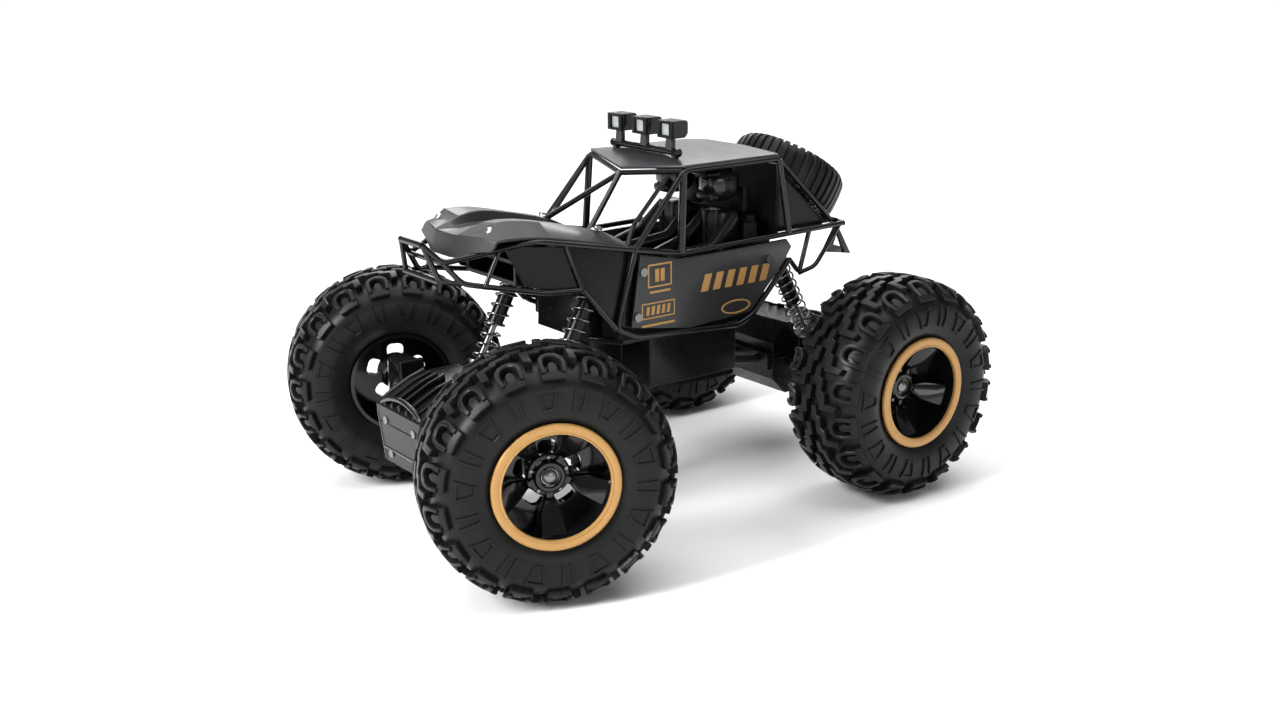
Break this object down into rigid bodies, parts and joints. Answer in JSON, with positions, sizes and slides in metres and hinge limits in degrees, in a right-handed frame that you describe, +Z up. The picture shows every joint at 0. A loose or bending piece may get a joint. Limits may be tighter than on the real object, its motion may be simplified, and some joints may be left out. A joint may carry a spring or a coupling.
{
  "type": "remote control rock crawler toy car",
  "caption": "Battery toy rock crawler with geared live axles that roll on coil shocks, steered front wheels, balloon tyres, a tube-frame body, seated figures and a battery door.",
  "frame": {"origin": "bottom centre of the whole car's bounding box, on the ground, with the front wheels turned to the right as at rest", "axes": "+X towards the front, +Y towards the car's left side, +Z up"},
  "size_m": [0.2888, 0.2256, 0.1697],
  "materials": {
    "dark_body": "satin",
    "panel_grey": "satin",
    "tube_black": "gloss",
    "figures": "matte",
    "tyre_rubber": "matte",
    "rim_black": "gloss",
    "ring_gold": "satin",
    "axle_black": "satin",
    "steel": "brushed",
    "gear_white": "matte",
    "lens_clear": "gloss",
    "cells": "gloss",
    "board_green": "satin",
    "switch_red": "satin",
    "shock_black": "satin",
    "rod_chrome": "polished",
    "spring_steel": "polished"
  },
  "bodies": {
    "chassis": {"chassis_tub": "dark_body", "battery_cells": "cells", "circuit_board": "board_green", "cockpit_tub": "dark_body", "engine_bay": "dark_body", "front_frame": "tube_black", "hood": "panel_grey", "roof_panel": "panel_grey", "side_panel_left": "panel_grey", "side_panel_right": "panel_grey", "cage_left": "tube_black", "cage_right": "tube_black", "cage_cross": "tube_black", "rear_cover": "dark_body", "drivers": "figures", "light_bar": "tube_black", "lamp_lenses": "lens_clear", "spare_tyre": "tyre_rubber", "spare_rim": "dark_body", "body_screws": "steel"},
    "battery_door": {"battery_door": "dark_body"},
    "switch": {"switch_knob": "switch_red"},
    "front_axle": {"front_axle_lower": "axle_black", "front_axle_upper": "axle_black", "front_motor": "steel", "front_radius_arm": "axle_black"},
    "rear_axle": {"rear_axle_lower": "axle_black", "rear_axle_upper": "axle_black", "rear_motor": "steel", "rear_radius_arm": "axle_black"},
    "front_pinion": {"front_pinion": "gear_white"},
    "rear_pinion": {"rear_pinion": "gear_white"},
    "front_shaft": {"front_drive_shaft": "steel"},
    "knuckle_left": {"knuckle_left": "axle_black"},
    "knuckle_right": {"knuckle_right": "axle_black"},
    "tie_rod": {"tie_rod": "axle_black"},
    "front_left_wheel": {"stub_axle_left": "steel", "tyre_front_left": "tyre_rubber", "rim_front_left": "rim_black", "ring_front_left": "ring_gold"},
    "front_right_wheel": {"stub_axle_right": "steel", "tyre_front_right": "tyre_rubber", "rim_front_right": "rim_black", "ring_front_right": "ring_gold"},
    "rear_wheels": {"rear_drive_shaft": "steel", "rear_tyres": "tyre_rubber", "rear_rims": "rim_black", "rear_rings": "ring_gold"},
    "shock_body_front_left": {"shock_body_front_left": "shock_black", "spring_front_left": "spring_steel"},
    "shock_rod_front_left": {"shock_rod_front_left": "rod_chrome"},
    "shock_body_front_right": {"shock_body_front_right": "shock_black", "spring_front_right": "spring_steel"},
    "shock_rod_front_right": {"shock_rod_front_right": "rod_chrome"},
    "shock_body_rear_left": {"shock_body_rear_left": "shock_black", "spring_rear_left": "spring_steel"},
    "shock_rod_rear_left": {"shock_rod_rear_left": "rod_chrome"},
    "shock_body_rear_right": {"shock_body_rear_right": "shock_black", "spring_rear_right": "spring_steel"},
    "shock_rod_rear_right": {"shock_rod_rear_right": "rod_chrome"}
  },
  "joints": [
    {"name": "battery_door_hinge", "type": "hinge", "parent": "chassis", "child": "battery_door", "pos_m": [0.001, 0, 0.0517], "axis": [0, -1, 0], "range_deg": [0, 85]},
    {"name": "power_switch_slide", "type": "slide", "parent": "chassis", "child": "switch", "axis": [1, 0, 0], "range_m": [0, 0.004]},
    {"name": "front_axle_roll", "type": "hinge", "parent": "chassis", "child": "front_axle", "pos_m": [0.083, 0, 0.05], "axis": [-1, 0, 0], "range_deg": [-10, 10], "stiffness_Nm_per_rad": 1},
    {"name": "rear_axle_roll", "type": "hinge", "parent": "chassis", "child": "rear_axle", "pos_m": [-0.0944, 0, 0.05], "axis": [1, 0, 0], "range_deg": [-10, 10], "stiffness_Nm_per_rad": 1},
    {"name": "steer_left", "type": "hinge", "parent": "front_axle", "child": "knuckle_left", "pos_m": [0.083, 0.0535, 0.05], "axis": [0, 0, 1], "range_deg": [-6.9, 49.1]},
    {"name": "steer_right", "type": "hinge", "parent": "front_axle", "child": "knuckle_right", "pos_m": [0.083, -0.0535, 0.05], "axis": [0, 0, 1], "range_deg": [-6.9, 49.1]},
    {"name": "tie_rod_slide", "type": "slide", "parent": "front_axle", "child": "tie_rod", "axis": [0, 1, 0], "range_m": [-0.01749, 0.00248]},
    {"name": "front_left_spin", "type": "hinge", "parent": "knuckle_left", "child": "front_left_wheel", "pos_m": [0.083, 0.0535, 0.05], "axis": [0.36, 0.933, 0], "continuous": true},
    {"name": "front_right_spin", "type": "hinge", "parent": "knuckle_right", "child": "front_right_wheel", "pos_m": [0.083, -0.0535, 0.05], "axis": [0.36, 0.933, 0], "continuous": true},
    {"name": "front_shaft_spin", "type": "hinge", "parent": "front_axle", "child": "front_shaft", "pos_m": [0.083, 0, 0.05], "axis": [0, 1, 0], "continuous": true},
    {"name": "front_pinion_spin", "type": "hinge", "parent": "front_axle", "child": "front_pinion", "pos_m": [0.1022, 0, 0.05], "axis": [0, 1, 0], "continuous": true},
    {"name": "rear_wheels_spin", "type": "hinge", "parent": "rear_axle", "child": "rear_wheels", "pos_m": [-0.0944, 0, 0.05], "axis": [0, 1, 0], "continuous": true},
    {"name": "rear_pinion_spin", "type": "hinge", "parent": "rear_axle", "child": "rear_pinion", "pos_m": [-0.1136, 0, 0.05], "axis": [0, 1, 0], "continuous": true},
    {"name": "shock_swing_front_left", "type": "hinge", "parent": "chassis", "child": "shock_body_front_left", "pos_m": [0.033, 0.0288, 0.1072], "axis": [0.3899, 0.8948, 0.2175], "range_deg": [-2.74, 2.74]},
    {"name": "shock_slide_front_left", "type": "slide", "parent": "shock_body_front_left", "child": "shock_rod_front_left", "axis": [0.4871, 0, -0.8733], "range_m": [-0.0044, 0.0044], "deforming": ["spring_front_left"]},
    {"name": "shock_swing_front_right", "type": "hinge", "parent": "chassis", "child": "shock_body_front_right", "pos_m": [0.033, -0.0288, 0.1072], "axis": [0.3899, -0.8948, 0.2175], "range_deg": [-2.74, 2.74]},
    {"name": "shock_slide_front_right", "type": "slide", "parent": "shock_body_front_right", "child": "shock_rod_front_right", "axis": [0.4871, 0, -0.8733], "range_m": [-0.0044, 0.0044], "deforming": ["spring_front_right"]},
    {"name": "shock_swing_rear_left", "type": "hinge", "parent": "chassis", "child": "shock_body_rear_left", "pos_m": [-0.0665, 0.0288, 0.1065], "axis": [-0.5208, 0.8064, 0.28], "range_deg": [-3.21, 3.21]},
    {"name": "shock_slide_rear_left", "type": "slide", "parent": "shock_body_rear_left", "child": "shock_rod_rear_left", "axis": [-0.4735, 0, -0.8808], "range_m": [-0.00444, 0.00444], "deforming": ["spring_rear_left"]},
    {"name": "shock_swing_rear_right", "type": "hinge", "parent": "chassis", "child": "shock_body_rear_right", "pos_m": [-0.0665, -0.0288, 0.1065], "axis": [-0.5208, -0.8064, 0.28], "range_deg": [-3.21, 3.21]},
    {"name": "shock_slide_rear_right", "type": "slide", "parent": "shock_body_rear_right", "child": "shock_rod_rear_right", "axis": [-0.4735, 0, -0.8808], "range_m": [-0.00444, 0.00444], "deforming": ["spring_rear_right"]}
  ],
  "couplings": [
    {"joint": "steer_right", "follows": "steer_left", "ratio": 1},
    {"joint": "tie_rod_slide", "follows": "steer_left", "m_per_rad": -0.020384},
    {"joint": "front_right_spin", "follows": "front_left_spin", "ratio": 1},
    {"joint": "front_shaft_spin", "follows": "front_left_spin", "ratio": 1},
    {"joint": "front_pinion_spin", "follows": "front_left_spin", "ratio": -3},
    {"joint": "rear_pinion_spin", "follows": "rear_wheels_spin", "ratio": -3},
    {"joint": "shock_swing_front_left", "follows": "front_axle_roll", "ratio": 0.27276},
    {"joint": "shock_slide_front_left", "follows": "front_axle_roll", "m_per_rad": 0.025152},
    {"joint": "shock_swing_front_right", "follows": "front_axle_roll", "ratio": 0.27276},
    {"joint": "shock_slide_front_right", "follows": "front_axle_roll", "m_per_rad": -0.025152},
    {"joint": "shock_swing_rear_left", "follows": "rear_axle_roll", "ratio": 0.32032},
    {"joint": "shock_slide_rear_left", "follows": "rear_axle_roll", "m_per_rad": -0.025366},
    {"joint": "shock_swing_rear_right", "follows": "rear_axle_roll", "ratio": 0.32032},
    {"joint": "shock_slide_rear_right", "follows": "rear_axle_roll", "m_per_rad": 0.025366}
  ]
}
